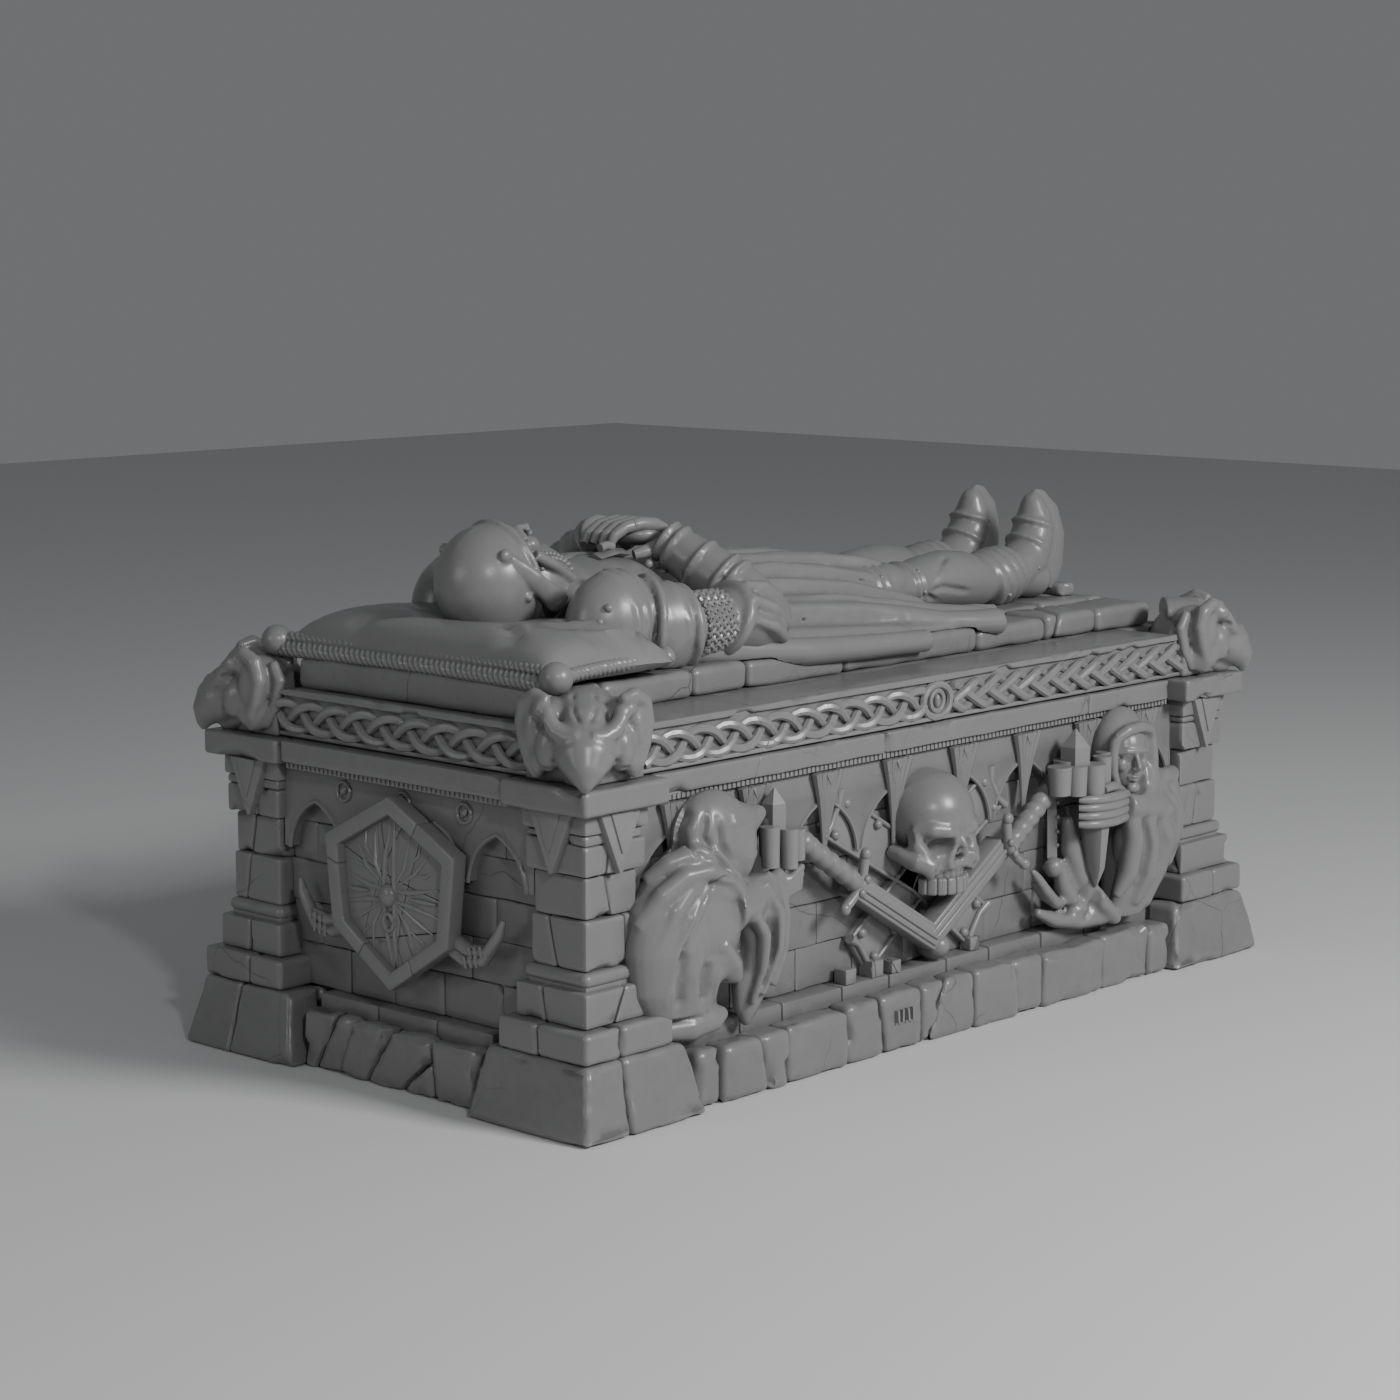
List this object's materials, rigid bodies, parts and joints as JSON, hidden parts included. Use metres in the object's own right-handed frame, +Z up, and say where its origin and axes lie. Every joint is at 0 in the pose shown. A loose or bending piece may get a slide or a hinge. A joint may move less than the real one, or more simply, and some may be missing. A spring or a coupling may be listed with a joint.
{
  "type": "effigy tomb",
  "caption": "Stone chest tomb: an armoured effigy on a pillow and paved lid, over a hollow chest with corner piers, blind arcades, mourners, trophies and end shields.",
  "frame": {"origin": "middle of the underside, on the ground", "axes": "+X along the length towards the effigy's feet, +Z up"},
  "size_m": [2.228, 1.172, 1.0859],
  "materials": {
    "dressed_stone": "fine-grained grey stone, rubbed smooth, arrises worn and chipped, faint polish",
    "rough_stone": "the same grey stone left hewn and weathered, edges rounded",
    "wall_stone": "coursed grey stone with open joints, duller and dustier in the recesses",
    "carved_stone": "closely carved grey stone, worn smooth with a soft polish on high points"
  },
  "bodies": {
    "root": {"head_front_foot": "dressed_stone", "head_front_step": "dressed_stone", "head_front_plinth": "dressed_stone", "head_front_lower_shaft": "dressed_stone", "head_front_upper_shaft": "dressed_stone", "head_front_capital": "dressed_stone", "head_front_impost": "dressed_stone", "head_front_bird_head": "dressed_stone", "foot_front_foot": "dressed_stone", "foot_front_step": "dressed_stone", "foot_front_plinth": "dressed_stone", "foot_front_lower_shaft": "dressed_stone", "foot_front_upper_shaft": "dressed_stone", "foot_front_capital": "dressed_stone", "foot_front_impost": "dressed_stone", "foot_front_bird_head": "dressed_stone", "foot_back_foot": "dressed_stone", "foot_back_step": "dressed_stone", "foot_back_plinth": "dressed_stone", "foot_back_lower_shaft": "dressed_stone", "foot_back_upper_shaft": "dressed_stone", "foot_back_capital": "dressed_stone", "foot_back_impost": "dressed_stone", "foot_back_bird_head": "dressed_stone", "head_back_foot": "dressed_stone", "head_back_step": "dressed_stone", "head_back_plinth": "dressed_stone", "head_back_lower_shaft": "dressed_stone", "head_back_upper_shaft": "dressed_stone", "head_back_capital": "dressed_stone", "head_back_impost": "dressed_stone", "head_back_bird_head": "dressed_stone", "front_wall": "wall_stone", "front_base_course": "rough_stone", "front_lintel": "dressed_stone", "back_wall": "wall_stone", "back_base_course": "rough_stone", "back_lintel": "dressed_stone", "head_wall": "wall_stone", "head_base_course": "rough_stone", "head_lintel": "dressed_stone", "foot_wall": "wall_stone", "foot_base_course": "rough_stone", "foot_lintel": "dressed_stone", "front_kneeling_mourner": "carved_stone", "front_standing_mourner": "carved_stone", "front_trophy": "carved_stone", "back_kneeling_mourner": "carved_stone", "back_standing_mourner": "carved_stone", "back_trophy": "carved_stone", "head_shield": "carved_stone", "foot_shield": "carved_stone", "ledge_slab": "wall_stone", "lid_slab": "dressed_stone", "lid_paving": "rough_stone", "pillow": "carved_stone", "effigy": "carved_stone"}
  },
  "joints": []
}
